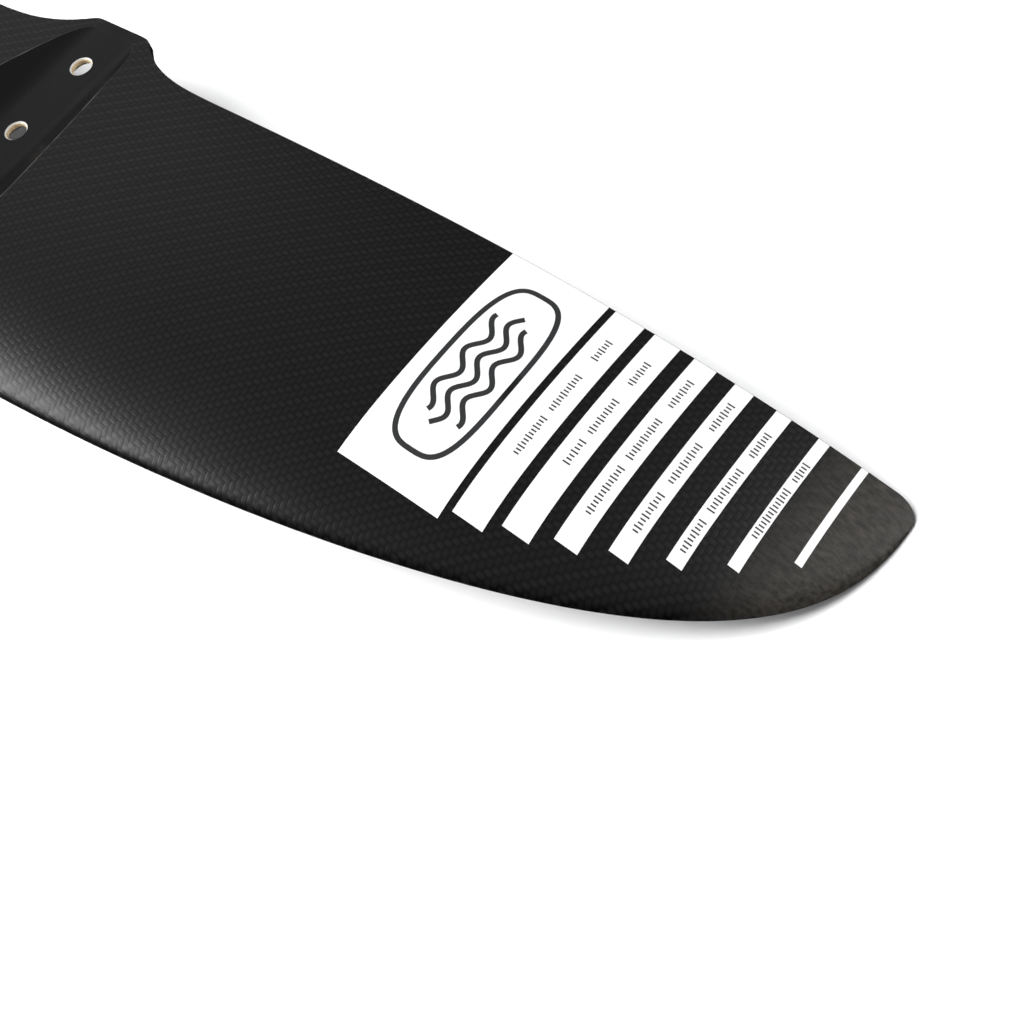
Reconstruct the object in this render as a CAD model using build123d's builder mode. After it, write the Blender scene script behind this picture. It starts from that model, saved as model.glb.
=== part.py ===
"""Front wing of a hydrofoil: a moulded carbon wing with a foam core and a screw-down fuselage seat.

Frame: +X along the span, -Y towards the leading edge, +Z up out of the fuselage seat.
The origin is on the seat floor, midway between the two screw holes. Millimetres.
"""

import os
from math import cos, exp, log, radians, sin, sqrt, tan

from build123d import *

os.makedirs("parts", exist_ok=True)

# ---- wing: driving dimensions ----
span = 810.0
root_chord = 155.0
thickness_ratio = 0.134
camber_ratio = 0.0155
camber_place = 0.4
tip_drop = 50.0            # how far the tips hang below the centre
tip_drop_power = 3.41
leading_edge_power = 2.185
leading_edge_root = 2.333
tip_corner_x = 10.2        # the trailing edge turns into the tip over this much span
tip_corner_y = 6.9
edge_thickness = 0.8       # blunt trailing edge

# ---- hub: the thick rear tab and the fuselage seat ----
screw_spacing = 41.0
rear_screw_to_edge = 10.2  # rear screw to the trailing edge line
screw_hole_d = 9.0
screw_rim = 0.8
screw_head_d = 16.4
chord_plane_z = 1.0        # height of the wing's chord plane over the seat floor
tab_length = 16.5
tab_half_width = 16.8
tab_fillet_length = 70.0
tab_fillet_power = 3.8
tab_corner = 1.0
tab_top_z = -1.4
tab_bottom_z = -6.6
seat_flat_half = 11.0
seat_cove_r = 22.0
seat_wall_angle = 32.0
seat_front_y = -51.0       # where the seat's round front end begins
seat_top_z = 16.0
liner_thickness = 1.2

# ---- laminate and core ----
skin_thickness = 1.5       # at the root; it tapers with the chord
cap_thickness = 1.2
bond_line = 0.08            # resin between the skins and what they enclose
hub_half = 40.0            # half width of the mounting block
skin_end = 386.0           # outboard of this the tip is solid
cavity_front = 0.03        # chord fractions
nose_end = 0.08
cap_front = 0.21
web_front = 0.28
web_rear = 0.295
cap_rear = 0.38
core_rear = 0.80
cavity_rear = 0.86
hub_cavity_rear = 0.965

# ---- printed vinyl graphics on each half ----
film_thickness = 0.16
film_lift = 0.02
panel_inner = 234.6
panel_outer = 277.9
panel_front_gap = 30.0
band_count = 7
band_first = 280.9
band_pitch = 16.72
band_width = 12.3
band_step = 1.6            # each band is this much narrower than the last
band_front_gap = 22.6
graphic_slant = 0.0455
film_edge = 1.2            # the film stops this far short of the trailing edge

half_span = span / 2
trailing_y = screw_spacing / 2 + rear_screw_to_edge


# ---------------------------------------------------------------- shape of the wing
def trailing_edge(x):
    """Y of the trailing edge at a span station, without the hub's tab."""
    turn = min(max((abs(x) - half_span + tip_corner_x) / tip_corner_x, 0.0), 1.0)
    return trailing_y - tip_corner_y * (1 - sqrt(1 - turn**2))


def leading_edge(x):
    """Y of the leading edge at a span station."""
    full = max(1 - abs(x / half_span) ** leading_edge_power, 0.0)
    reach = root_chord - tip_corner_y
    return trailing_y - root_chord + reach * (1 - full ** (1 / leading_edge_root))


def chord_z(x):
    """Height of the chord plane, which droops towards the tips."""
    return chord_plane_z - tip_drop * abs(x / half_span) ** tip_drop_power


def hub_share(x):
    """1 on the tab, falling to 0 along its fillets."""
    out = tab_corner * log(1 + exp(min((abs(x) - tab_half_width) / tab_corner, 60.0)))
    return max(1 - out / tab_fillet_length, 0.0) ** tab_fillet_power


def surface(x, s):
    """Y, lower Z and upper Z at chord fraction s of span station x."""
    chord = trailing_edge(x) - leading_edge(x)
    share = hub_share(x)
    y = leading_edge(x) + s * (chord + tab_length * share)
    poly = 0.2969 * sqrt(s) - 0.1260 * s - 0.3516 * s**2 + 0.2843 * s**3 - 0.1036 * s**4
    half = 5 * thickness_ratio * chord * poly
    if s < camber_place:
        rise = (2 * camber_place * s - s**2) / camber_place**2
    else:
        rise = (1 - 2 * camber_place + 2 * camber_place * s - s**2) / (1 - camber_place) ** 2
    mean = chord_z(x) + camber_ratio * chord * rise
    blunt = min(edge_thickness, 0.02 * chord) / 2
    rear_up = blunt * (1 - share) + (tab_top_z - chord_plane_z) * share
    rear_down = blunt * (1 - share) + (chord_plane_z - tab_bottom_z) * share
    grow = s**3.2
    return y, mean - half - grow * rear_down, mean + half + grow * rear_up


def split_z(x, s):
    """Height of the joint between the two skins at the nose and at the tail."""
    share = hub_share(x)
    return chord_z(x) + s**3.2 * share * ((tab_top_z + tab_bottom_z) / 2 - chord_plane_z)


def inset(x, layers):
    """Thickness of the laminate at a station, for a thickness given at the root."""
    return layers * (trailing_edge(x) - leading_edge(x)) / root_chord


def fractions(start, end, count):
    """Chord fractions from start to end, closer together at the nose."""
    low, high = sqrt(start), sqrt(end)
    return [(low + (high - low) * i / count) ** 2 for i in range(count + 1)]


def station(x):
    """Plane of one wing section, with Y and Z as its own axes."""
    return Plane(origin=(x, 0, 0), x_dir=(0, 1, 0), z_dir=(1, 0, 0))


def spaced(start, end):
    """Span stations from start to end, close together round the hub and the tip."""
    inner = [0, 8, 12, 14.7, 16.7, 18.7, 21.2, 24.7, 29, 34, hub_half, 48, 58, 72, 92]
    outer = [120, 160, 200, 235, 262, 286, 308, 328, 346, 362, 375, skin_end]
    outer += [394, 399, 402, 403.8, 404.6]
    right = inner + outer
    every = [-x for x in reversed(right)] + right[1:]
    return [x for x in every if start - 1e-6 <= x <= end + 1e-6]


def upper_skin_section(x):
    """Crescent between the upper surface and the core."""
    rear = cavity_rear + (hub_cavity_rear - cavity_rear) * hub_share(x)
    skin = inset(x, skin_thickness)
    outside = [(surface(x, s)[0], surface(x, s)[2]) for s in fractions(0, 1, 18)]
    outside[0] = (surface(x, 0)[0], split_z(x, 0))
    inside = [(surface(x, s)[0], surface(x, s)[2] - skin) for s in fractions(cavity_front, rear, 14)]
    front_split = (inside[0][0], split_z(x, cavity_front))
    rear_split = (inside[-1][0], split_z(x, rear))
    tail = (outside[-1][0], split_z(x, 1))
    with BuildSketch(station(x)) as section:
        with BuildLine():
            Spline(*outside)
            Polyline(outside[-1], tail, rear_split, inside[-1])
            Spline(*inside)
            Polyline(inside[0], front_split, outside[0])
        make_face()
    return section.sketch


def lower_skin_section(x):
    """Crescent between the lower surface and the core."""
    rear = cavity_rear + (hub_cavity_rear - cavity_rear) * hub_share(x)
    skin = inset(x, skin_thickness)
    outside = [surface(x, s)[:2] for s in fractions(0, 1, 18)]
    outside[0] = (outside[0][0], split_z(x, 0))
    inside = [(surface(x, s)[0], surface(x, s)[1] + skin) for s in fractions(cavity_front, rear, 14)]
    front_split = (inside[0][0], split_z(x, cavity_front))
    rear_split = (inside[-1][0], split_z(x, rear))
    tail = (outside[-1][0], split_z(x, 1))
    with BuildSketch(station(x)) as section:
        with BuildLine():
            Spline(*outside)
            Polyline(outside[-1], tail, rear_split, inside[-1])
            Spline(*inside)
            Polyline(inside[0], front_split, outside[0])
        make_face()
    return section.sketch


def whole_section(x):
    """The full wing section, nose to tail."""
    upper = [(surface(x, s)[0], surface(x, s)[2]) for s in fractions(0, 1, 18)]
    lower = [surface(x, s)[:2] for s in fractions(0, 1, 18)]
    upper[0] = lower[0] = (upper[0][0], split_z(x, 0))
    with BuildSketch(station(x)) as section:
        with BuildLine():
            Spline(*upper)
            Line(upper[-1], lower[-1])
            Spline(*lower)
        make_face()
    return section.sketch


def slab_section(x, runs):
    """A piece inside the skins. Each run is (front, rear, inset from top, inset from bottom)."""
    top, bottom = [], []
    for front, rear, top_inset, bottom_inset in runs:
        steps = fractions(front, rear, 6)
        top.append([(surface(x, s)[0], surface(x, s)[2] - inset(x, top_inset)) for s in steps])
        bottom.append([(surface(x, s)[0], surface(x, s)[1] + inset(x, bottom_inset)) for s in steps])
    with BuildSketch(station(x)) as section:
        with BuildLine():
            for edge in (top, bottom):
                for points in edge:
                    Spline(*points)
                for before, after in zip(edge, edge[1:]):
                    Line(before[-1], after[0])
            Line(top[0][0], bottom[0][0])
            Line(top[-1][-1], bottom[-1][-1])
        make_face()
    return section.sketch


def save(piece, name):
    """Label a finished piece and write its STEP file."""
    piece.part.label = name
    export_step(piece.part, f"parts/{name}.step")
    print(f"{name:28s} {piece.part.volume / 1000:9.2f} cm3")


# ---------------------------------------------------------------- cutting shapes for the hub
def seat_profile(extra):
    """Half of the seat's cross-section as a face in X and Z, grown outwards by extra."""
    angle = radians(seat_wall_angle)
    radius = seat_cove_r + extra
    floor_end = (seat_flat_half, -extra)
    bend = (seat_flat_half + radius * sin(angle), radius * (1 - cos(angle)) - extra)
    top = (bend[0] + (seat_top_z - bend[1]) / tan(angle), seat_top_z)
    middle = (
        seat_flat_half + radius * sin(angle / 2),
        radius * (1 - cos(angle / 2)) - extra,
    )
    with BuildSketch(Plane.XZ) as profile:
        with BuildLine():
            Line((0, -extra), floor_end)
            ThreePointArc(floor_end, middle, bend)
            Line(bend, top)
            Polyline(top, (0, seat_top_z), (0, -extra))
        make_face()
    return profile.sketch


def seat_space(extra):
    """The space that the fuselage fills: a straight trough with a round front end."""
    reach = trailing_y + tab_length + 20 - seat_front_y
    half = seat_profile(extra)
    with BuildPart() as space:
        with BuildSketch(Plane.XZ.offset(-seat_front_y)):
            add(half)
            mirror(about=Plane.YZ)
        extrude(amount=-reach)
        with BuildSketch(Plane.XZ.offset(-seat_front_y)):
            add(half)
        revolve(axis=Axis((0, seat_front_y, 0), (0, 0, 1)), revolution_arc=360)
    return space.part


screw_places = [(0, -screw_spacing / 2, 0), (0, screw_spacing / 2, 0)]


def screw_space(start):
    """A screw's clearance hole, with its countersink opening downwards from depth start."""
    hole_r = screw_hole_d / 2
    above, below = 6.0, 9.0
    with BuildPart() as space:
        with BuildSketch(Plane.XZ):
            with BuildLine():
                Polyline(
                    (0, above),
                    (hole_r + screw_rim + above, above),
                    (hole_r, -screw_rim),
                    (hole_r, -start),
                    (hole_r + below, -start - below),
                    (0, -start - below),
                    close=True,
                )
            make_face()
        revolve(axis=Axis.Z)
    return [space.part.moved(Location(place)) for place in screw_places]


lining = skin_thickness + bond_line
hub_depth = -surface(0, 0.8)[1]
screw_cuts = screw_space(hub_depth - (screw_head_d - screw_hole_d) / 2)
seat_hollow = seat_space(0)
liner_hollow = seat_space(liner_thickness)

# ---------------------------------------------------------------- skins
with BuildPart() as upper_skin:
    loft([upper_skin_section(x) for x in spaced(-skin_end, skin_end)])
    add(liner_hollow, mode=Mode.SUBTRACT)
save(upper_skin, "upper_skin")

with BuildPart() as lower_skin:
    loft([lower_skin_section(x) for x in spaced(-skin_end, skin_end)])
    for cut in screw_cuts:
        add(cut, mode=Mode.SUBTRACT)
save(lower_skin, "lower_skin")

# ---------------------------------------------------------------- seat liner and mounting block
with BuildPart() as seat_liner:
    loft([whole_section(x) for x in spaced(-58, 58)])
    add(liner_hollow, mode=Mode.INTERSECT)
    add(seat_hollow, mode=Mode.SUBTRACT)
    for cut in screw_cuts:
        add(cut, mode=Mode.SUBTRACT)
save(seat_liner, "seat_liner")


def block_section(x):
    """Cavity section at the hub."""
    rear = cavity_rear + (hub_cavity_rear - cavity_rear) * hub_share(x)
    return slab_section(x, [(nose_end, rear, lining, lining)])


hub_stations = [6, 12, 17, 21, 26, 32, hub_half]
with BuildPart() as mount_block:
    loft([block_section(x) for x in [-x for x in reversed(hub_stations)] + hub_stations])
    add(liner_hollow, mode=Mode.SUBTRACT)
    for cut in screw_cuts:
        add(cut, mode=Mode.SUBTRACT)
save(mount_block, "mount_block")

with BuildPart() as nose_filler:
    nose = [(cavity_front, nose_end, lining, lining)]
    loft([slab_section(x, nose) for x in spaced(-skin_end, skin_end)])
save(nose_filler, "nose_filler")

# ---------------------------------------------------------------- inner pieces of each half
both = lining + cap_thickness + bond_line
inner_runs = {
    "front_core": [
        (nose_end, cap_front, lining, lining),
        (cap_front, web_front, both, both),
    ],
    "shear_web": [(web_front, web_rear, both, both)],
    "rear_core": [
        (web_rear, cap_rear, both, both),
        (cap_rear, core_rear, lining, lining),
    ],
}


def cap_section(x, upper):
    """A strip of unidirectional carbon between the core and one skin."""
    steps = fractions(cap_front, cap_rear, 6)
    near, far = inset(x, lining), inset(x, lining + cap_thickness)
    if upper:
        outside = [(surface(x, s)[0], surface(x, s)[2] - near) for s in steps]
        inside = [(surface(x, s)[0], surface(x, s)[2] - far) for s in steps]
    else:
        outside = [(surface(x, s)[0], surface(x, s)[1] + near) for s in steps]
        inside = [(surface(x, s)[0], surface(x, s)[1] + far) for s in steps]
    with BuildSketch(station(x)) as section:
        with BuildLine():
            Spline(*outside)
            Spline(*inside)
            Line(outside[0], inside[0])
            Line(outside[-1], inside[-1])
        make_face()
    return section.sketch


def filler_section(x):
    """The carbon roving that closes the cavity behind the core."""
    rear = cavity_rear + (hub_cavity_rear - cavity_rear) * hub_share(x)
    return slab_section(x, [(core_rear, rear, lining, lining)])


def film_section(x_inner, run, lift):
    """Strip of vinyl film on the upper surface, from the trailing edge forwards by run."""
    direction = Vector(graphic_slant, -1, 0).normalized()
    plane = Plane(origin=(x_inner, trailing_y, 0), x_dir=direction, z_dir=(1, graphic_slant, 0))
    under, over = [], []
    for i in range(11):
        forward = film_edge + (run - film_edge) * i / 10
        x = x_inner + graphic_slant * forward
        chord = trailing_edge(x) - leading_edge(x)
        s = 1 - (forward - trailing_y + trailing_edge(x)) / chord
        z = surface(x, s)[2] + lift
        along = forward * sqrt(1 + graphic_slant**2)
        under.append((along, -z))
        over.append((along, -z - film_thickness))
    with BuildSketch(plane) as section:
        with BuildLine():
            Spline(*under)
            Spline(*over)
            Line(under[0], over[0])
            Line(under[-1], over[-1])
        make_face()
    return section.sketch


def film(x_inner, x_outer, front_gap):
    """One piece of film on the right half, between two span stations."""
    run = trailing_edge(x_inner) - leading_edge(x_inner) - front_gap
    steps = max(round((x_outer - x_inner) / 9), 1)
    places = [x_inner + (x_outer - x_inner) * i / steps for i in range(steps + 1)]
    return loft([film_section(x, run, film_lift) for x in places])


for side, sign in (("right", 1), ("left", -1)):
    start, end = sorted((sign * hub_half, sign * skin_end))
    for name, runs in inner_runs.items():
        with BuildPart() as inner_piece:
            loft([slab_section(x, runs) for x in spaced(start, end)])
        save(inner_piece, f"{name}_{side}")
    for name, upper in (("upper_spar_cap", True), ("lower_spar_cap", False)):
        with BuildPart() as spar_cap:
            loft([cap_section(x, upper) for x in spaced(start, end)])
        save(spar_cap, f"{name}_{side}")
    with BuildPart() as edge_filler:
        loft([filler_section(x) for x in spaced(start, end)])
    save(edge_filler, f"trailing_edge_filler_{side}")
    start, end = sorted((sign * skin_end, sign * (half_span - 0.4)))
    with BuildPart() as tip_block:
        loft([whole_section(x) for x in spaced(start, end)])
    save(tip_block, f"tip_block_{side}")

for side, sign in (("right", 1), ("left", -1)):
    with BuildPart() as panel:
        film(panel_inner, panel_outer, panel_front_gap)
        if sign < 0:
            mirror(about=Plane.YZ, mode=Mode.REPLACE)
    save(panel, f"graphic_panel_{side}")
    for number in range(band_count):
        inner = band_first + band_pitch * number
        with BuildPart() as band:
            film(inner, inner + band_width - band_step * number, band_front_gap)
            if sign < 0:
                mirror(about=Plane.YZ, mode=Mode.REPLACE)
        save(band, f"graphic_band_{number + 1}_{side}")
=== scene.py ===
"""Looks of the hydrofoil front wing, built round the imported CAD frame. Metres."""

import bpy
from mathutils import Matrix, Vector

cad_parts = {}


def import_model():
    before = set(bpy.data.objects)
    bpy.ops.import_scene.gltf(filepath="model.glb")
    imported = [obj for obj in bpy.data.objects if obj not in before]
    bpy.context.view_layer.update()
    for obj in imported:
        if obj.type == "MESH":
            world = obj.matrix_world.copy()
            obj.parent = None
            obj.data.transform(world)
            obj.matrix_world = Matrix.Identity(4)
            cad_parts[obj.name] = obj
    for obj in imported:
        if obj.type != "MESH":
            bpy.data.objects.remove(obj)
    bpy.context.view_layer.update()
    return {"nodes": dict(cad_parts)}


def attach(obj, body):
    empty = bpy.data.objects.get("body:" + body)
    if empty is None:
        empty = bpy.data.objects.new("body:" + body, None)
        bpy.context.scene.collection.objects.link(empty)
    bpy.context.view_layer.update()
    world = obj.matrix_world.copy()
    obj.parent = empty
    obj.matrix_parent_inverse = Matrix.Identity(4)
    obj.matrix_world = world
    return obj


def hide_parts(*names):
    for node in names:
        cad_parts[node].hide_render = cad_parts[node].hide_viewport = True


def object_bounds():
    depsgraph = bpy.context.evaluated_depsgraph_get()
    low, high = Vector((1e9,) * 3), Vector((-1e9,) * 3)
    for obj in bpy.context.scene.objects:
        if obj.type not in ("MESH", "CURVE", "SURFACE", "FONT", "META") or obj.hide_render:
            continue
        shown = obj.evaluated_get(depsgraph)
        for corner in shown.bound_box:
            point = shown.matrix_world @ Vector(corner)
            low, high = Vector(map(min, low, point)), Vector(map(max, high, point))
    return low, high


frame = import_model()

import math

import bmesh
import bpy
import numpy as np
from mathutils import Matrix, Vector

MM = 0.001

# ---------------------------------------------------------------- sizes, as in the CAD part
HALF_SPAN = 405 * MM
ROOT_CHORD = 155 * MM
THICKNESS = 0.134
CAMBER = 0.0155
CAMBER_PLACE = 0.4
TIP_DROP = 50 * MM
TIP_DROP_POWER = 3.41
LEADING_POWER = 2.185
LEADING_ROOT = 2.333
TIP_CORNER_X = 10.2 * MM
TIP_CORNER_Y = 6.9 * MM
EDGE_THICKNESS = 0.8 * MM
SCREW_SPACING = 41 * MM
TRAILING_Y = SCREW_SPACING / 2 + 10.2 * MM
CHORD_PLANE_Z = 1 * MM
TAB_LENGTH = 16.5 * MM
TAB_HALF_WIDTH = 16.8 * MM
TAB_FILLET = 70 * MM
TAB_FILLET_POWER = 3.8
TAB_CORNER = 1 * MM
TAB_TOP_Z = -1.4 * MM
TAB_BOTTOM_Z = -6.6 * MM
SEAT_FLAT = 11 * MM
SEAT_COVE = 22 * MM
SEAT_ANGLE = math.radians(32)
SEAT_FRONT_Y = -51 * MM
SKIN = 1.5 * MM
LINER = 1.2 * MM
SKIN_END = 386 * MM
CAVITY_FRONT = 0.03
CAVITY_REAR = 0.86
HUB_CAVITY_REAR = 0.965
HOLE_R = 4.5 * MM
HOLE_RIM = 0.8 * MM
HEAD_R = 8.2 * MM

# graphics on each half
FILM = 0.16 * MM
FILM_LIFT = 0.02 * MM
PANEL = (234.6 * MM, 277.9 * MM)
PANEL_GAP = 30 * MM
BAND_FIRST = 280.9 * MM
BAND_PITCH = 16.72 * MM
BAND_WIDTH = 12.3 * MM
BAND_STEP = 1.6 * MM
BAND_COUNT = 7
BAND_GAP = 22.6 * MM
SLANT = 0.0455
FILM_EDGE = 0.25 * MM
INK_GAP = 0.004 * MM
INK = 0.02 * MM
EMBLEM_LINE = 2.1 * MM
TICK_LINE = 0.6 * MM
TICK_PITCH = 1.55

# cloth, and how sharply the section thickens towards its blunt tail
TOW = 2.02 * MM
TIP_FADE = (360 * MM, 391 * MM)
TAIL_POWER = 3.2

# fineness of the meshes
COLUMNS = 230
LOWER_ROWS = 110
NOSE_ROWS = 40
SEAT_ROWS = 96
SEAT_LANES = 44
ON_SURFACE = 2e-5


# ---------------------------------------------------------------- the wing's surface
def trailing_edge(x):
    turn = np.clip((np.abs(x) - HALF_SPAN + TIP_CORNER_X) / TIP_CORNER_X, 0, 1)
    return TRAILING_Y - TIP_CORNER_Y * (1 - np.sqrt(1 - turn**2))


def leading_edge(x):
    full = np.clip(1 - np.abs(x / HALF_SPAN) ** LEADING_POWER, 0, 1)
    reach = ROOT_CHORD - TIP_CORNER_Y
    return TRAILING_Y - ROOT_CHORD + reach * (1 - full ** (1 / LEADING_ROOT))


def chord_z(x):
    return CHORD_PLANE_Z - TIP_DROP * np.abs(x / HALF_SPAN) ** TIP_DROP_POWER


def hub_share(x):
    """1 on the rear tab, falling to 0 along its fillets."""
    past = np.minimum((np.abs(x) - TAB_HALF_WIDTH) / TAB_CORNER, 60)
    out = TAB_CORNER * np.log1p(np.exp(past))
    return np.maximum(1 - out / TAB_FILLET, 0) ** TAB_FILLET_POWER


def wing_point(x, s, upper):
    """Points of the upper or lower surface at span stations x and chord fractions s."""
    x, s = np.broadcast_arrays(np.asarray(x, float), np.asarray(s, float))
    chord = trailing_edge(x) - leading_edge(x)
    share = hub_share(x)
    y = leading_edge(x) + s * (chord + TAB_LENGTH * share)
    poly = 0.2969 * np.sqrt(s) - 0.1260 * s - 0.3516 * s**2 + 0.2843 * s**3 - 0.1036 * s**4
    half = 5 * THICKNESS * chord * poly
    front_rise = (2 * CAMBER_PLACE * s - s**2) / CAMBER_PLACE**2
    rear_rise = (1 - 2 * CAMBER_PLACE + 2 * CAMBER_PLACE * s - s**2) / (1 - CAMBER_PLACE) ** 2
    mean = chord_z(x) + CAMBER * chord * np.where(s < CAMBER_PLACE, front_rise, rear_rise)
    blunt = np.minimum(EDGE_THICKNESS, 0.02 * chord) / 2
    rear_up = blunt * (1 - share) + (TAB_TOP_Z - CHORD_PLANE_Z) * share
    rear_down = blunt * (1 - share) + (CHORD_PLANE_Z - TAB_BOTTOM_Z) * share
    tail = s**TAIL_POWER
    z = mean + half + tail * rear_up if upper else mean - half - tail * rear_down
    return np.stack([x, y, z], -1)


def split_z(x, s):
    """Height of the joint between the two skins."""
    middle = (TAB_TOP_Z + TAB_BOTTOM_Z) / 2 - CHORD_PLANE_Z
    return chord_z(x) + s**TAIL_POWER * hub_share(x) * middle


def wing_normal(x, s, upper):
    """Outward unit normals, by small differences."""
    x, s = np.broadcast_arrays(np.asarray(x, float), np.asarray(s, float))
    root = np.sqrt(s)
    step_x, step_root = 2e-5, 2e-4
    near, far = np.clip(root - step_root, 0, 1), np.clip(root + step_root, 0, 1)
    along = wing_point(x, far**2, upper) - wing_point(x, near**2, upper)
    across = wing_point(x + step_x, s, upper) - wing_point(x - step_x, s, upper)
    normal = np.cross(across, along)
    normal /= np.linalg.norm(normal, axis=-1, keepdims=True) + 1e-12
    return normal if upper else -normal


def seat_z(x, y):
    """Height of the fuselage seat: a flat floor, coved sides and sloping walls, round at its front."""
    r = np.where(y > SEAT_FRONT_Y, np.abs(x), np.hypot(x, y - SEAT_FRONT_Y))
    bend = SEAT_FLAT + SEAT_COVE * math.sin(SEAT_ANGLE)
    across = np.clip(r - SEAT_FLAT, 0, bend - SEAT_FLAT)
    cove = SEAT_COVE - np.sqrt(SEAT_COVE**2 - across**2)
    return cove + np.maximum(r - bend, 0) * math.tan(SEAT_ANGLE)


def inset(x):
    """Thickness of a skin, which tapers with the chord."""
    return SKIN * (trailing_edge(x) - leading_edge(x)) / ROOT_CHORD


# ---------------------------------------------------------------- mesh helpers
def make_object(name, verts, faces, smooth=True):
    mesh = bpy.data.meshes.new(name)
    mesh.from_pydata([tuple(v) for v in verts], [], faces)
    mesh.validate()
    mesh.update()
    mesh.polygons.foreach_set("use_smooth", [smooth] * len(mesh.polygons))
    obj = bpy.data.objects.new(name, mesh)
    bpy.context.scene.collection.objects.link(obj)
    return obj


def grid_faces(rows, columns, start=0, flip=False):
    faces = []
    for i in range(rows - 1):
        for j in range(columns - 1):
            a = start + i * columns + j
            quad = (a, a + 1, a + columns + 1, a + columns)
            faces.append(quad[::-1] if flip else quad)
    return faces


def closed_sheet(name, outer, inner, flip=False):
    """A closed piece between two grids of points of the same shape, outer and inner."""
    rows, columns = outer.shape[:2]
    count = rows * columns
    verts = np.concatenate([outer.reshape(-1, 3), inner.reshape(-1, 3)])
    faces = grid_faces(rows, columns, 0, flip) + grid_faces(rows, columns, count, not flip)
    rim = list(range(columns))
    rim += [i * columns + columns - 1 for i in range(1, rows)]
    rim += [(rows - 1) * columns + j for j in range(columns - 2, -1, -1)]
    rim += [i * columns for i in range(rows - 2, 0, -1)]
    for a, b in zip(rim, rim[1:] + rim[:1]):
        side = (b, a, a + count, b + count)
        faces.append(side[::-1] if flip else side)
    return make_object(name, verts, faces)


def drop_centre_walls(obj):
    """The two halves meet on the centre plane, so the walls between them go."""
    bm = bmesh.new()
    bm.from_mesh(obj.data)
    walls = [f for f in bm.faces if all(abs(v.co.x) < 1e-7 for v in f.verts)]
    bmesh.ops.delete(bm, geom=walls, context="FACES")
    bm.to_mesh(obj.data)
    bm.free()


def weld(obj, distance=2e-6):
    """Merge the points that coincide, and drop the faces that this closes up."""
    bm = bmesh.new()
    bm.from_mesh(obj.data)
    bmesh.ops.remove_doubles(bm, verts=bm.verts, dist=distance)
    bmesh.ops.dissolve_degenerate(bm, edges=bm.edges, dist=distance / 4)
    bm.to_mesh(obj.data)
    bm.free()


def set_normals(obj, function):
    """Give every vertex the true normal of the surface that it lies on; walls keep their own."""
    mesh = obj.data
    mesh.update()
    co = np.zeros(len(mesh.vertices) * 3)
    mesh.vertices.foreach_get("co", co)
    true, on_surface = function(co.reshape(-1, 3))
    loops = np.zeros(len(mesh.loops), int)
    mesh.loops.foreach_get("vertex_index", loops)
    face_of = np.repeat(np.arange(len(mesh.polygons)), [p.loop_total for p in mesh.polygons])
    flat = np.zeros(len(mesh.polygons) * 3)
    mesh.polygons.foreach_get("normal", flat)
    flat = flat.reshape(-1, 3)[face_of]
    wanted = true[loops]
    use = on_surface[loops] & ((wanted * flat).sum(1) > 0.6)
    result = np.where(use[:, None], wanted, flat)
    mesh.normals_split_custom_set([tuple(n) for n in result])


def piece(obj, slot, *nodes):
    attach(obj, "root")
    if nodes:
        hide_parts(*nodes)
    return obj


# ---------------------------------------------------------------- node helpers
class Nodes:
    """Small helper to write a material's node tree as arithmetic."""

    def __init__(self, name):
        self.material = bpy.data.materials.new(name)
        self.material.use_nodes = True
        self.tree = self.material.node_tree
        self.shader = self.tree.nodes["Principled BSDF"]
        self.output = self.tree.nodes["Material Output"]

    def new(self, kind, **settings):
        node = self.tree.nodes.new(kind)
        for key, value in settings.items():
            setattr(node, key, value)
        return node

    def put(self, socket, value):
        if hasattr(value, "is_output"):
            self.tree.links.new(value, socket)
        else:
            socket.default_value = value

    def math(self, operation, a, b=0.0):
        node = self.new("ShaderNodeMath", operation=operation)
        for socket, value in zip(node.inputs, (a, b)):
            self.put(socket, value)
        return node.outputs[0]

    def mix(self, factor, a, b):
        node = self.new("ShaderNodeMix", data_type="RGBA")
        self.put(node.inputs[0], factor)
        self.put(node.inputs[6], a)
        self.put(node.inputs[7], b)
        return node.outputs[2]

    def ramp(self, value, low, high, out_low=0.0, out_high=1.0):
        node = self.new("ShaderNodeMapRange", interpolation_type="SMOOTHSTEP")
        for socket, v in zip(node.inputs, (value, low, high, out_low, out_high)):
            self.put(socket, v)
        return node.outputs[0]

    def coordinates(self):
        return self.new("ShaderNodeTexCoord").outputs["Object"]

    def scaled(self, vector, x, y, z, turn=0.0):
        node = self.new("ShaderNodeMapping")
        self.put(node.inputs[0], vector)
        node.inputs["Rotation"].default_value = (0, 0, turn)
        node.inputs["Scale"].default_value = (x, y, z)
        return node.outputs[0]

    def noise(self, vector, scale, detail=3.0, roughness=0.5):
        node = self.new("ShaderNodeTexNoise")
        self.put(node.inputs["Vector"], vector)
        node.inputs["Scale"].default_value = scale
        node.inputs["Detail"].default_value = detail
        node.inputs["Roughness"].default_value = roughness
        return node.outputs["Fac"]

    def split(self, vector):
        node = self.new("ShaderNodeSeparateXYZ")
        self.put(node.inputs[0], vector)
        return node.outputs

    def bump(self, height):
        """Relief from a height in metres."""
        node = self.new("ShaderNodeBump")
        node.inputs["Strength"].default_value = 1.0
        node.inputs["Distance"].default_value = 1.0
        self.put(node.inputs["Height"], height)
        return node.outputs[0]

    def set(self, **values):
        for key, value in values.items():
            self.put(self.shader.inputs[key.replace("_", " ")], value)
        return self.material


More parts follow.
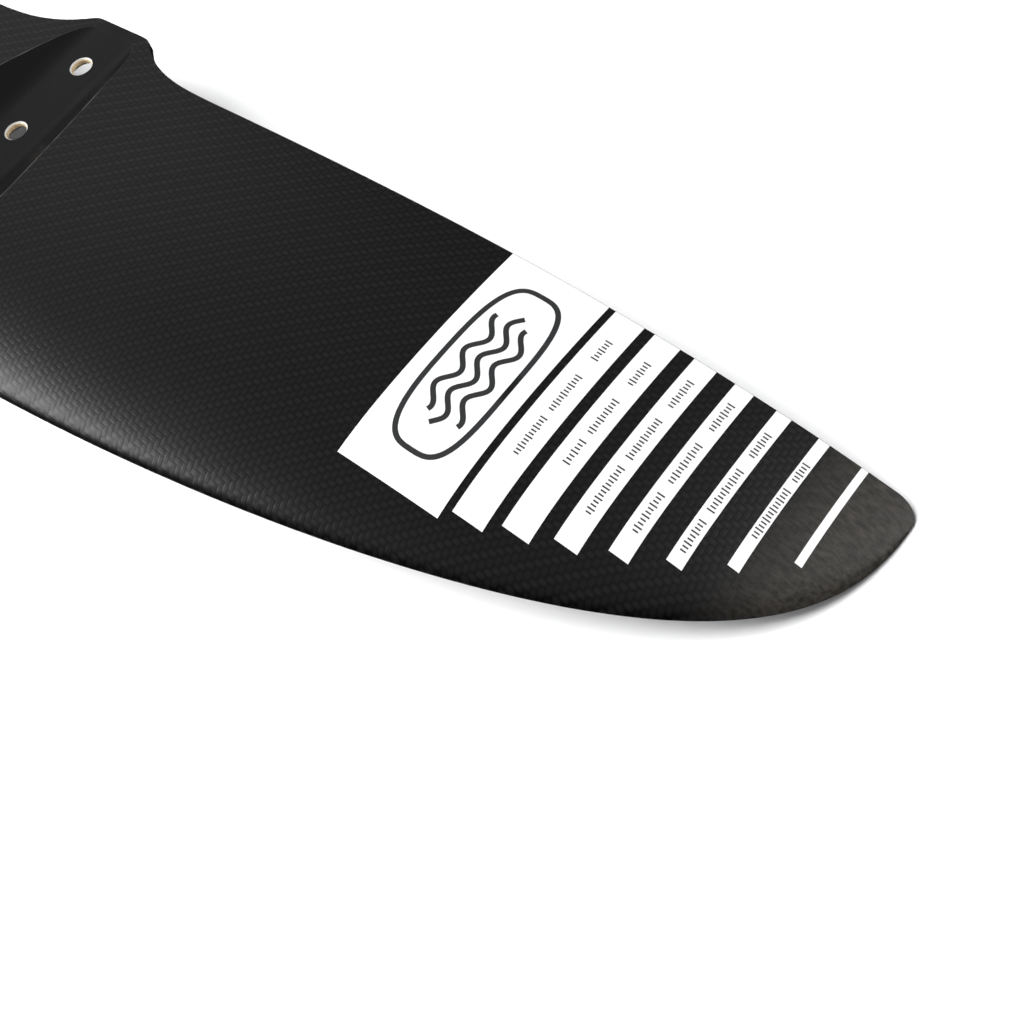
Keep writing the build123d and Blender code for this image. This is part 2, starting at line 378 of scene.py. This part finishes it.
def twill(n, vector):
    """2x2 twill. Gives the height of the cloth, 0 to 1, and 1 where a spanwise tow is on top."""
    x, y = n.split(vector)[:2]
    u, v = n.math("DIVIDE", x, TOW), n.math("DIVIDE", y, TOW)
    i, j = n.math("FLOOR", u), n.math("FLOOR", v)
    a, b = n.math("FRACT", u), n.math("FRACT", v)
    m = n.math("FLOORED_MODULO", n.math("SUBTRACT", i, j), 4.0)
    spanwise = n.math("GREATER_THAN", m, 1.5)

    def bulge(t, power):
        centred = n.math("ABSOLUTE", n.math("SUBTRACT", n.math("MULTIPLY", t, 2.0), 1.0))
        return n.math("SUBTRACT", 1.0, n.math("POWER", centred, power))

    long_chord = n.math("MULTIPLY", n.math("ADD", n.math("SUBTRACT", 1.0, m), b), 0.5)
    long_span = n.math("MULTIPLY", n.math("ADD", n.math("SUBTRACT", m, 2.0), a), 0.5)
    chordwise_height = n.math("MULTIPLY", bulge(a, 4.0), bulge(long_chord, 1.4))
    spanwise_height = n.math("MULTIPLY", bulge(b, 4.0), bulge(long_span, 1.4))
    first = n.math("MULTIPLY", spanwise, spanwise_height)
    second = n.math("MULTIPLY", n.math("SUBTRACT", 1.0, spanwise), chordwise_height)
    return n.math("ADD", first, second), spanwise


def carbon_material():
    """Satin-lacquered twill carbon that turns to brushed solid laminate at the tips."""
    n = Nodes("twill_carbon")
    place = n.coordinates()
    x = n.split(place)[0]
    drift = n.new("ShaderNodeTexNoise")
    n.put(drift.inputs["Vector"], place)
    drift.inputs["Scale"].default_value = 9.0
    drift.inputs["Detail"].default_value = 1.0
    wander = n.new("ShaderNodeVectorMath", operation="MULTIPLY_ADD")
    n.put(wander.inputs[0], drift.outputs["Color"])
    wander.inputs[1].default_value = (4 * MM, 4 * MM, 0)
    n.put(wander.inputs[2], place)
    height, spanwise = twill(n, wander.outputs[0])
    tip = n.ramp(n.math("ABSOLUTE", x), *TIP_FADE)
    cloth = n.math("SUBTRACT", 1.0, tip)
    streaks = n.noise(n.scaled(place, 22, 620, 620, turn=0.12), 1.0, 5.0, 0.65)
    mottled = n.noise(n.scaled(place, 30, 45, 30), 1.0, 2.0)
    # Painted light in the cloth: by the cloth's height, tow crowns are painted lighter (painted highlight)
    # and the hollows between tows near-black (painted shade); spanwise tows are painted lighter than
    # chordwise ones as painted sheen.
    crown_painted_sheen = n.mix(spanwise, (0.0044, 0.0042, 0.0047, 1), (0.0072, 0.0068, 0.0074, 1))
    tow_painted_highlight_and_shade = n.mix(n.ramp(height, 0.0, 0.85), (0.0004, 0.0004, 0.0004, 1), crown_painted_sheen)
    brown = n.mix(n.ramp(streaks, 0.3, 0.7), (0.013, 0.0118, 0.0098, 1), (0.047, 0.0415, 0.0345, 1))
    color = n.mix(tip, tow_painted_highlight_and_shade, brown)
    rough = n.math("ADD", n.math("MULTIPLY", mottled, 0.08), n.math("MULTIPLY", spanwise, -0.04))
    rough = n.math("ADD", rough, 0.36)
    rough = n.math("ADD", rough, n.math("MULTIPLY", streaks, n.math("MULTIPLY", tip, 0.10)))
    relief = n.math("MULTIPLY", height, n.math("MULTIPLY", cloth, 0.05 * MM))
    brushed = n.math("MULTIPLY", streaks, n.math("ADD", n.math("MULTIPLY", tip, 0.012 * MM), 0.002 * MM))
    normal = n.bump(n.math("ADD", relief, brushed))
    n.shader.inputs["Specular IOR Level"].default_value = 0.2
    return n.set(Base_Color=color, Roughness=rough, Normal=normal)


def seat_material():
    """Smooth moulded laminate of the fuselage seat, with faint marks along it."""
    n = Nodes("seat_laminate")
    place = n.coordinates()
    along = n.noise(n.scaled(place, 420, 26, 26), 1.0, 4.0, 0.6)
    cloudy = n.noise(n.scaled(place, 60, 40, 40), 1.0, 3.0)
    color = n.mix(along, (0.0022, 0.0022, 0.0026, 1), (0.0050, 0.0050, 0.0055, 1))
    rough = n.math("ADD", n.math("MULTIPLY", cloudy, 0.22), 0.27)
    normal = n.bump(n.math("MULTIPLY", along, 0.012 * MM))
    n.shader.inputs["Specular IOR Level"].default_value = 0.14
    return n.set(Base_Color=color, Roughness=rough, Normal=normal)


def edge_highlight_material():
    """Pale colour of the bead along the seat's edge: a painted highlight, brighter in places."""
    n = Nodes("seat_edge_painted_highlight")
    patchy = n.noise(n.coordinates(), 120.0, 3.0)
    # The bead's pale grey is a painted highlight along the seat's edge.
    color = n.mix(n.ramp(patchy, 0.35, 0.65), (0.012, 0.012, 0.013, 1), (0.085, 0.083, 0.080, 1))
    return n.set(Base_Color=color, Roughness=0.35)


def film_material():
    """White printed film: satin, with a very fine orange peel."""
    n = Nodes("white_film")
    place = n.coordinates()
    peel = n.noise(place, 900.0, 2.0)
    tone = n.noise(place, 40.0, 2.0)
    color = n.mix(tone, (0.90, 0.90, 0.90, 1), (0.94, 0.94, 0.935, 1))
    rough = n.math("ADD", n.math("MULTIPLY", peel, 0.1), 0.33)
    normal = n.bump(n.math("MULTIPLY", peel, 0.004 * MM))
    return n.set(Base_Color=color, Roughness=rough, Normal=normal)


def ink_material():
    """Black print on the film."""
    n = Nodes("black_ink")
    grain = n.noise(n.coordinates(), 1800.0, 2.0)
    color = n.mix(grain, (0.010, 0.010, 0.011, 1), (0.020, 0.020, 0.021, 1))
    rough = n.math("ADD", n.math("MULTIPLY", grain, 0.15), 0.38)
    return n.set(Base_Color=color, Roughness=rough)


def glass_epoxy_material():
    """Machined glass-epoxy: tan, with its cloth layers showing as fine level lines."""
    n = Nodes("glass_epoxy")
    place = n.coordinates()
    z = n.split(place)[2]
    wobble = n.math("MULTIPLY", n.noise(place, 300.0, 2.0), 0.25)
    ply = n.math("ADD", n.math("DIVIDE", z, 0.4 * MM), wobble)
    layer = n.math("SINE", n.math("MULTIPLY", ply, 6.283))
    grain = n.noise(place, 1500.0, 3.0)
    pale = n.mix(grain, (0.46, 0.33, 0.17, 1), (0.78, 0.66, 0.46, 1))
    color = n.mix(n.ramp(layer, -1.0, 1.0, 0.0, 0.45), pale, (0.30, 0.20, 0.09, 1))
    # Pale grey near the top of the hole's wall: a painted highlight on the rim.
    color = n.mix(n.ramp(z, -0.6 * MM, -0.35 * MM), color, (0.62, 0.62, 0.60, 1))
    normal = n.bump(n.math("MULTIPLY", n.math("ADD", layer, grain), 0.01 * MM))
    return n.set(Base_Color=color, Roughness=0.5, Normal=normal)


def foam_material():
    """Cream closed-cell foam."""
    n = Nodes("foam")
    cells = n.new("ShaderNodeTexVoronoi", feature="DISTANCE_TO_EDGE")
    n.put(cells.inputs["Vector"], n.coordinates())
    cells.inputs["Scale"].default_value = 1600.0
    wall = n.ramp(cells.outputs["Distance"], 0.0, 0.2)
    color = n.mix(wall, (0.86, 0.80, 0.64, 1), (0.70, 0.62, 0.44, 1))
    normal = n.bump(n.math("MULTIPLY", wall, -0.1 * MM))
    return n.set(Base_Color=color, Roughness=0.8, Normal=normal)


def roving_material():
    """Cured unidirectional carbon tow, streaked along the span."""
    n = Nodes("carbon_roving")
    place = n.coordinates()
    fibre = n.noise(n.scaled(place, 30, 3000, 3000), 1.0, 4.0, 0.7)
    color = n.mix(fibre, (0.008, 0.008, 0.009, 1), (0.045, 0.045, 0.048, 1))
    normal = n.bump(n.math("MULTIPLY", fibre, 0.03 * MM))
    return n.set(Base_Color=color, Roughness=0.42, Normal=normal)


CARBON = carbon_material()
SEAT = seat_material()
EDGE_HIGHLIGHT = edge_highlight_material()
WHITE = film_material()
BLACK = ink_material()
GLASS = glass_epoxy_material()
FOAM = foam_material()
ROVING = roving_material()


# ---------------------------------------------------------------- where the seat meets the wing
def seat_edge(fraction):
    """Half width of the seat's opening at one chord fraction, 0 where there is none."""
    middle = wing_point(0.0, fraction, True)
    if middle[2] <= seat_z(middle[0], middle[1]):
        return 0.0 if middle[1] < 0 else SEAT_FLAT
    low, high = 0.0, 60 * MM
    for _ in range(50):
        x = (low + high) / 2
        p = wing_point(x, fraction, True)
        if p[2] > seat_z(p[0], p[1]):
            low = x
        else:
            high = x
    return low


def seat_start():
    """Chord fraction of the seat's front end."""
    low, high = 0.0, 0.5
    for _ in range(50):
        s = (low + high) / 2
        p = wing_point(0.0, s, True)
        if p[2] > seat_z(p[0], p[1]):
            high = s
        else:
            low = s
    return high


# Chord fractions of the upper skin's rows: from the nose to the seat's front end, then along the seat.
FRONT = seat_start()
front_rows = list(FRONT * (np.arange(NOSE_ROWS) / NOSE_ROWS) ** 1.7)
seat_rows = [
    FRONT + (1 - FRONT) * (1 - math.cos(math.pi * k / SEAT_ROWS)) / 2 for k in range(SEAT_ROWS + 1)
]
row_s = np.array(front_rows + seat_rows)
row_edge = np.array([0.0] * len(front_rows) + [0.0] + [seat_edge(s) for s in seat_rows[1:]])


# ---------------------------------------------------------------- skins and tips
def skin_columns():
    """Columns of a skin, from 0 at the centre to 1 at its end, closer together near the centre."""
    return (np.arange(COLUMNS + 1) / COLUMNS) ** 1.3


def inner_surface(outer, x, s, upper):
    """Inside of a skin: a skin's thickness in, and at the nose and the tail all the way to the joint."""
    joint = split_z(x, s)
    rear = CAVITY_REAR + (HUB_CAVITY_REAR - CAVITY_REAR) * hub_share(x)
    solid = (s < CAVITY_FRONT) | (s > rear)
    if upper:
        level = np.maximum(outer[..., 2] - inset(x), joint)
    else:
        level = np.minimum(outer[..., 2] + inset(x), joint)
    inner = outer.copy()
    inner[..., 2] = np.where(solid, joint, level)
    return inner


def upper_half(sign):
    t = skin_columns()
    x = row_edge[:, None] + (SKIN_END - row_edge[:, None]) * t[None, :]
    s = np.repeat(row_s[:, None], COLUMNS + 1, 1)
    outer = wing_point(sign * x, s, True)
    inner = inner_surface(outer, x, s, True)
    outer[0, :, 2] = split_z(x[0], 0.0)
    inner[0] = outer[0]
    return outer, inner


def lower_half(sign):
    t = skin_columns()
    s = ((np.arange(LOWER_ROWS + 1) / LOWER_ROWS) ** 1.5)[:, None]
    x = (SKIN_END * t)[None, :]
    x, s = np.broadcast_arrays(x, s)
    outer = wing_point(sign * x, s, False)
    inner = inner_surface(outer, x, s, False)
    outer[0, :, 2] = split_z(x[0], 0.0)
    inner[0] = outer[0]
    return outer, inner


def join(objects, name):
    bpy.ops.object.select_all(action="DESELECT")
    for obj in objects:
        obj.select_set(True)
    bpy.context.view_layer.objects.active = objects[0]
    bpy.ops.object.join()
    objects[0].name = name
    return objects[0]


def chord_fraction(co):
    x = co[:, 0]
    length = trailing_edge(x) - leading_edge(x) + TAB_LENGTH * hub_share(x)
    return np.clip((co[:, 1] - leading_edge(x)) / np.maximum(length, 1e-6), 0, 1)


def nose_normal(x):
    """Level normals along the swept leading edge."""
    step = 0.05 * MM
    sweep = (leading_edge(x + step) - leading_edge(x - step)) / (2 * step)
    normal = np.stack([sweep, -np.ones_like(x), np.zeros_like(x)], 1)
    return normal / np.linalg.norm(normal, axis=1, keepdims=True)


def wing_normals(upper):
    def function(co):
        s = chord_fraction(co)
        point = wing_point(co[:, 0], s, upper)
        on = np.abs(point[:, 2] - co[:, 2]) < ON_SURFACE
        normal = wing_normal(co[:, 0], s, upper)
        nose = s < 1e-7
        normal[nose] = nose_normal(co[nose, 0])
        return normal, on | nose
    return function


upper_parts = []
lower_parts = []
for sign in (1, -1):
    upper_parts.append(closed_sheet("upper", *upper_half(sign), flip=sign < 0))
    lower_parts.append(closed_sheet("lower", *lower_half(sign), flip=sign > 0))

upper_shell = join(upper_parts, "upper_shell")
lower_shell = join(lower_parts, "lower_shell")
for shell in (upper_shell, lower_shell):
    drop_centre_walls(shell)
    weld(shell)


def cutter(profile, place, segments=96):
    """A turned solid about a vertical axis, from (radius, z) pairs listed from the top down."""
    verts, faces = [], []
    for r, z in profile:
        for k in range(segments):
            a = 2 * math.pi * k / segments
            verts.append((place[0] + r * math.cos(a), place[1] + r * math.sin(a), z))
    for i in range(len(profile) - 1):
        for k in range(segments):
            a, b = i * segments + k, i * segments + (k + 1) % segments
            faces.append((a, a + segments, b + segments, b))
    faces.append(tuple(range(segments)))
    faces.append(tuple(reversed(range((len(profile) - 1) * segments, len(profile) * segments))))
    return make_object("cutter", verts, faces, smooth=False)


HUB_DEPTH = -float(wing_point(0.0, 0.8, False)[2])
SINK_START = -(HUB_DEPTH - (HEAD_R - HOLE_R))
SCREWS = [(0.0, -SCREW_SPACING / 2), (0.0, SCREW_SPACING / 2)]
HOLE_PROFILE = [
    (HOLE_R + HOLE_RIM + 2 * MM, 2 * MM),
    (HOLE_R, -HOLE_RIM),
    (HOLE_R, SINK_START),
    (HOLE_R + 9 * MM, SINK_START - 9 * MM),
]


def cut_holes(obj, wall_material):
    """Cut the screw holes; the walls take a material of their own."""
    for place in SCREWS:
        tool = cutter(HOLE_PROFILE, place)
        tool.data.materials.append(wall_material)
        mod = obj.modifiers.new("cut", "BOOLEAN")
        mod.operation = "DIFFERENCE"
        mod.solver = "EXACT"
        mod.object = tool
        mod.material_mode = "TRANSFER"
        bpy.context.view_layer.objects.active = obj
        bpy.ops.object.modifier_apply(modifier="cut")
        bpy.data.objects.remove(tool)


upper_shell.data.materials.append(CARBON)
lower_shell.data.materials.append(CARBON)
cut_holes(lower_shell, ROVING)
set_normals(upper_shell, wing_normals(True))
set_normals(lower_shell, wing_normals(False))
piece(upper_shell, "carbon_skin", "upper_skin")
piece(lower_shell, "carbon_skin", "lower_skin")


def tip_piece(side, sign, rows=64, columns=40):
    """Solid tip: the whole section from the end of the skins out to the tip."""
    t = np.sin(np.linspace(0, math.pi / 2, columns))
    x = SKIN_END + (HALF_SPAN - 0.02 * MM - SKIN_END) * t
    s_up = ((np.arange(rows + 1) / rows) ** 1.6)[:, None]
    xx, ss = np.broadcast_arrays(x[None, :], s_up)
    top = wing_point(sign * xx, ss, True)
    low = wing_point(sign * xx, ss, False)
    top[0, :, 2] = low[0, :, 2] = split_z(x, 0.0)
    obj = closed_sheet(f"tip_{side}", top, low, flip=sign < 0)
    weld(obj, 1e-6)
    obj.data.materials.append(CARBON)

    def function(co):
        s = chord_fraction(co)
        up = wing_point(co[:, 0], s, True)
        on_up = np.abs(up[:, 2] - co[:, 2]) < ON_SURFACE
        down = wing_point(co[:, 0], s, False)
        on_down = np.abs(down[:, 2] - co[:, 2]) < ON_SURFACE
        normal = np.where(on_up[:, None], wing_normal(co[:, 0], s, True), wing_normal(co[:, 0], s, False))
        return normal, on_up | on_down
    set_normals(obj, function)
    return piece(obj, "carbon_tip", f"tip_block_{side}")


for side, sign in (("right", 1), ("left", -1)):
    tip_piece(side, sign)


# ---------------------------------------------------------------- the fuselage seat
def seat_piece():
    """The seat's trough: rows run from the middle out to its edge on the wing."""
    rows = seat_rows
    edge = row_edge[len(front_rows):]
    t = np.arange(-SEAT_LANES, SEAT_LANES + 1) / SEAT_LANES
    grid = np.zeros((len(rows), len(t), 3))
    for i, (s, w) in enumerate(zip(rows, edge)):
        end = wing_point(w, s, True)
        spine_y = max(end[1], SEAT_FRONT_Y)
        x = w * t
        y = spine_y + (end[1] - spine_y) * np.abs(t)
        z = seat_z(x, y)
        if w > 0:
            wing = wing_point(x, chord_fraction(np.stack([x, y, y], 1)), True)[:, 2]
            z = np.minimum(z, wing) if end[1] > 0 else z
        z[0] = z[-1] = min(end[2], z[0])
        grid[i] = np.stack([x, y, z], 1)
    under = grid.copy()
    under[..., 2] -= LINER
    tail = np.array(rows) > HUB_CAVITY_REAR
    under[tail, :, 2] = split_z(grid[tail, :, 0], np.array(rows)[tail, None])
    obj = closed_sheet("seat_trough", grid, under)
    drop_centre_walls(obj)
    weld(obj, 1e-6)
    obj.data.materials.append(SEAT)
    cut_holes(obj, GLASS)
    for polygon in obj.data.polygons:
        polygon.use_smooth = True
    obj.data.set_sharp_from_angle(angle=math.radians(24))
    return piece(obj, "seat_carbon", "seat_liner")


def bead(name, path, radius, material, sides=10):
    """A round bead along a line of points, closed at both ends."""
    p = np.asarray(path)
    along = np.gradient(p, axis=0)
    along /= np.linalg.norm(along, axis=1, keepdims=True)
    side = np.cross(along, (0, 0, 1))
    side /= np.linalg.norm(side, axis=1, keepdims=True)
    rise = np.cross(side, along)
    angle = np.linspace(0, 2 * math.pi, sides, endpoint=False)[None, :, None]
    spokes = side[:, None] * np.cos(angle) + rise[:, None] * np.sin(angle)
    rings = p[:, None] + np.reshape(radius, (-1, 1, 1)) * spokes
    faces = []
    for i in range(len(p) - 1):
        for k in range(sides):
            a, b = i * sides + k, i * sides + (k + 1) % sides
            faces.append((a, b, b + sides, a + sides))
    last = (len(p) - 1) * sides
    faces.append(tuple(reversed(range(sides))))
    faces.append(tuple(range(last, last + sides)))
    obj = make_object(name, rings.reshape(-1, 3), faces)
    obj.data.materials.append(material)
    return obj


def seat_edge_piece():
    """A bead along the edge where the seat's walls meet the wing's upper surface, coloured as a painted
    highlight.
    """
    widths, rows = row_edge[len(front_rows):], np.array(seat_rows)
    keep = [k for k in range(1, len(rows)) if widths[k] > SEAT_FLAT * 1.25 or rows[k] < 0.5]
    widths, rows = widths[keep], rows[keep]
    fade = np.clip((rows[-1] - rows) / 0.12, 0.15, 1)
    right, left = wing_point(widths, rows, True), wing_point(-widths, rows, True)
    front = wing_point(0.0, seat_rows[0], True)[None]
    path = np.concatenate([right[::-1], front, left])
    radius = 0.22 * MM * np.concatenate([fade[::-1], [1], fade])
    path[:, 2] -= radius * 0.55
    return piece(bead("seat_edge", path, radius, EDGE_HIGHLIGHT), "seat_carbon")


seat_piece()
seat_edge_piece()


# ---------------------------------------------------------------- printed film and ink
def on_wing(x_inner, forward, lift, sign):
    """A point on the upper surface, given the span station and the distance from the trailing edge."""
    x = x_inner + SLANT * forward
    chord = trailing_edge(x) - leading_edge(x)
    s = 1 - (forward - TRAILING_Y + trailing_edge(x)) / chord
    s = np.clip(s, 0, 1)
    return wing_point(sign * x, s, True) + wing_normal(sign * x, s, True) * np.asarray(lift)[..., None]


def sheet_on_wing(name, stations, forwards, low, high, sign, material):
    """Film between span stations and distances from the trailing edge, as a closed piece."""
    x, f = np.meshgrid(stations, forwards, indexing="ij")
    top = on_wing(x, f, np.full(x.shape, high), sign)
    bottom = on_wing(x, f, np.full(x.shape, low), sign)
    obj = closed_sheet(name, top, bottom, flip=sign > 0)
    obj.data.set_sharp_from_angle(angle=math.radians(30))
    obj.data.materials.append(material)
    return obj


def film_run(x_inner, gap):
    return float(trailing_edge(x_inner) - leading_edge(x_inner)) - gap


def bands():
    """Inner station, outer station and length of each band."""
    for k in range(BAND_COUNT):
        inner = BAND_FIRST + BAND_PITCH * k
        yield k + 1, inner, inner + BAND_WIDTH - BAND_STEP * k, film_run(inner, BAND_GAP)


INK_LOW = FILM_LIFT + FILM + INK_GAP
INK_HIGH = INK_LOW + INK


def ribbon(points, width, closed=False):
    """Quads along a line in the film's flat coordinates (station, distance)."""
    p = np.asarray(points, float)
    if closed:
        ahead, behind = np.roll(p, -1, 0), np.roll(p, 1, 0)
    else:
        ahead = np.vstack([p[1:], p[-1:]])
        behind = np.vstack([p[:1], p[:-1]])
    along = ahead - behind
    along /= np.linalg.norm(along, axis=1, keepdims=True) + 1e-12
    side = np.stack([-along[:, 1], along[:, 0]], 1) * width / 2
    if closed:
        p, side = np.vstack([p, p[:1]]), np.vstack([side, side[:1]])
    return p - side, p + side


def ink_piece(name, ribbons, sign):
    verts, faces = [], []
    for left, right in ribbons:
        start = len(verts)
        count = len(left)
        for edge in (left, right):
            for lift in (INK_HIGH, INK_LOW):
                verts += list(on_wing(edge[:, 0], edge[:, 1], np.full(count, lift), sign))
        a, b, c, d = (start + count * k for k in range(4))
        for k in range(count - 1):
            quads = [
                (a + k, a + k + 1, c + k + 1, c + k),
                (b + k, d + k, d + k + 1, b + k + 1),
                (a + k, b + k, b + k + 1, a + k + 1),
                (c + k, c + k + 1, d + k + 1, d + k),
            ]
            faces += [q[::-1] for q in quads] if sign < 0 else quads
        for k in (0, count - 1):
            end = (a + k, c + k, d + k, b + k)
            faces.append(end if (k == 0) == (sign > 0) else end[::-1])
    obj = make_object(name, verts, faces)
    weld(obj, 1e-7)
    obj.data.set_sharp_from_angle(angle=math.radians(30))
    obj.data.materials.append(BLACK)
    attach(obj, "root")
    return obj


def emblem():
    """A plain sign for water: a long rounded shape with three waves in it."""
    centre = np.array([(PANEL[0] + PANEL[1]) / 2, 50 * MM])
    half_long, half_wide = 39 * MM, 14.5 * MM
    angle = np.linspace(0, 2 * math.pi, 97)[:-1]
    power = 0.62
    outline = np.stack([
        half_wide * np.sign(np.cos(angle)) * np.abs(np.cos(angle)) ** power,
        half_long * np.sign(np.sin(angle)) * np.abs(np.sin(angle)) ** power,
    ], 1)
    result = [ribbon(centre + outline, EMBLEM_LINE, closed=True)]
    for k, offset in enumerate((-6.5, 0, 6.5)):
        reach = (27 - abs(offset) * 0.6) * MM
        f = np.linspace(-reach, reach, 61)
        wave = offset * MM + 2.4 * MM * np.sin(f / (8.6 * MM) * math.pi)
        result.append(ribbon(centre + np.stack([wave, f], 1), EMBLEM_LINE))
    return result


def tick_rows():
    """Groups of small strokes on every band but the last, in the places of a table's entries."""
    groups = [
        [(12.5, 23), (31, 49), (52, 70)],
        [(12, 24), (31.5, 48.5), (51.5, 63)],
        [(9, 23), (29, 48.5), (52, 73.5)],
        [(8, 22), (28.5, 47.5), (52, 69.5)],
        [(10, 22), (28, 48), (51.5, 65.5)],
        [(11.5, 20.5), (24, 46.5)],
    ]
    result = []
    for (_, inner, outer, _), spans in zip(bands(), groups):
        centre = (inner + outer) / 2
        for start, end in spans:
            count = round((end - start) / TICK_PITCH)
            for k in range(count):
                f = (start + (end - start) * (k + 0.5) / count) * MM
                tall = (1.05 if k % 3 else 1.5) * MM
                line = [(centre - tall, f), (centre, f), (centre + tall, f)]
                result.append(ribbon(line, TICK_LINE))
    return result


for side, sign in (("right", 1), ("left", -1)):
    run = film_run(PANEL[0], PANEL_GAP)
    stations = np.linspace(*PANEL, 25)
    forwards = np.linspace(FILM_EDGE, run, 61)
    panel = sheet_on_wing(f"panel_{side}", stations, forwards, FILM_LIFT, FILM_LIFT + FILM, sign, WHITE)
    piece(panel, "white_film", f"graphic_panel_{side}")
    for number, inner, outer, length in bands():
        stations = np.linspace(inner, outer, 9)
        forwards = np.linspace(FILM_EDGE, length, 61)
        name = f"band_{number}_{side}"
        band = sheet_on_wing(name, stations, forwards, FILM_LIFT, FILM_LIFT + FILM, sign, WHITE)
        piece(band, "white_film", f"graphic_band_{number}_{side}")
    ink_piece(f"emblem_{side}", emblem(), sign)
    ink_piece(f"ticks_{side}", tick_rows(), sign)

# ---------------------------------------------------------------- CAD pieces that stay
KEPT = {
    "mount_block": GLASS, "nose_filler": ROVING, "front_core": FOAM, "rear_core": FOAM,
    "shear_web": ROVING, "upper_spar_cap": ROVING, "lower_spar_cap": ROVING, "trailing_edge_filler": ROVING,
}
for name, node in frame["nodes"].items():
    for prefix, material in KEPT.items():
        if name.startswith(prefix):
            node.data.materials.clear()
            node.data.materials.append(material)

# ---------------------------------------------------------------- floor, light and camera
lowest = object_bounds()[0][2]


def floor():
    n = Nodes("floor")
    tone = n.noise(n.coordinates(), 3.0, 2.0)
    color = n.mix(tone, (0.93, 0.93, 0.93, 1), (0.95, 0.95, 0.95, 1))
    n.set(Base_Color=color, Roughness=0.75)
    corners = [(-6, -6, lowest), (6, -6, lowest), (6, 6, lowest), (-6, 6, lowest)]
    obj = make_object("floor", corners, [(0, 1, 2, 3)])
    obj.data.materials.append(n.material)
    obj.visible_glossy = False
    return obj


def light_on(lamp, obj, only):
    """Let a lamp light nothing but one object, or everything but that object."""
    group = bpy.data.collections.new(lamp.name)
    group.objects.link(obj)
    group.collection_objects[0].light_linking.link_state = "INCLUDE" if only else "EXCLUDE"
    lamp.light_linking.receiver_collection = group


def softbox(name, place, target, width, height, power):
    data = bpy.data.lights.new(name, "AREA")
    data.shape = "RECTANGLE"
    data.size, data.size_y = width, height
    data.energy = power
    obj = bpy.data.objects.new(name, data)
    bpy.context.scene.collection.objects.link(obj)
    obj.location = place
    obj.rotation_euler = (Vector(target) - Vector(place)).to_track_quat("-Z", "Y").to_euler()
    return obj


def world(above, below):
    """A soft even surround, darker under the horizon."""
    scene_world = bpy.data.worlds.new("studio")
    scene_world.use_nodes = True
    tree = scene_world.node_tree
    background = tree.nodes["Background"]
    direction = tree.nodes.new("ShaderNodeTexCoord").outputs["Generated"]
    split = tree.nodes.new("ShaderNodeSeparateXYZ")
    tree.links.new(direction, split.inputs[0])
    blend = tree.nodes.new("ShaderNodeMapRange")
    tree.links.new(split.outputs[2], blend.inputs[0])
    for socket, value in zip(list(blend.inputs)[1:5], (0.25, 0.7, below, above)):
        socket.default_value = value
    tree.links.new(blend.outputs[0], background.inputs[1])
    background.inputs[0].default_value = (0.97, 0.98, 1.0, 1)
    bpy.context.scene.world = scene_world


def camera(place, azimuth, elevation, roll, lens):
    az, el, ro = (math.radians(a) for a in (azimuth, elevation, roll))
    forward = Vector((-math.sin(az) * math.cos(el), math.cos(az) * math.cos(el), -math.sin(el)))
    level = forward.cross(Vector((0, 0, 1))).normalized()
    upright = level.cross(forward)
    right = level * math.cos(ro) + upright * math.sin(ro)
    up = upright * math.cos(ro) - level * math.sin(ro)
    data = bpy.data.cameras.new("camera")
    data.sensor_width = 36
    data.lens = lens
    data.clip_start = 0.01
    obj = bpy.data.objects.new("camera", data)
    bpy.context.scene.collection.objects.link(obj)
    turn = Matrix((right, up, -forward)).transposed().to_4x4()
    obj.matrix_world = Matrix.Translation(Vector(place)) @ turn
    bpy.context.scene.camera = obj


ground = floor()
world(0.5, 0.01)
softbox("key", (-1.5, -1.3, 1.1), (0.0, 0, 0), 1.7, 1.2, 92)
softbox("left", (-1.9, 1.1, 1.1), (0.0, 0, 0), 1.3, 1.3, 3.2)
light_on(softbox("fill", (1.7, 1.1, 1.05), (0.1, 0, 0), 1.8, 1.8, 38), ground, only=False)
light_on(softbox("floor_light", (-0.8, -0.8, 2.2), (0.2, 0, 0), 1.8, 1.8, 92), ground, only=True)
camera((557.6 * MM, -212.1 * MM, 442.7 * MM), 58.738, 56.449, -24.361, 56.66)

scene = bpy.context.scene
scene.view_settings.view_transform = "Standard"
scene.view_settings.look = "None"
